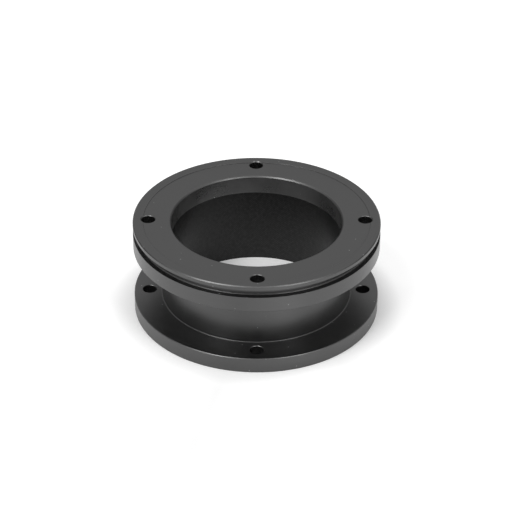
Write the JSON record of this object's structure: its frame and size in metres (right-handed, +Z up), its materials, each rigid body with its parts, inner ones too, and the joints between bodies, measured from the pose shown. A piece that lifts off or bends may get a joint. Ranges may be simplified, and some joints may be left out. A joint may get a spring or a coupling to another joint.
{
  "type": "telescope focuser adapter",
  "caption": "Black anodised aluminium spool adapter: drilled flanges on a short open neck, with a clamping groove round the upper rim, to fit a focuser to a telescope.",
  "frame": {"origin": "centre of the base face, on the optical axis", "axes": "+Z up along the optical axis, from the base flange to the grooved flange; +X and +Y through screw holes"},
  "size_m": [0.08, 0.08, 0.0322],
  "materials": {
    "black_anodised": "satin black anodised, fine turned"
  },
  "bodies": {
    "root": {"adapter_body": "black_anodised"}
  },
  "joints": []
}
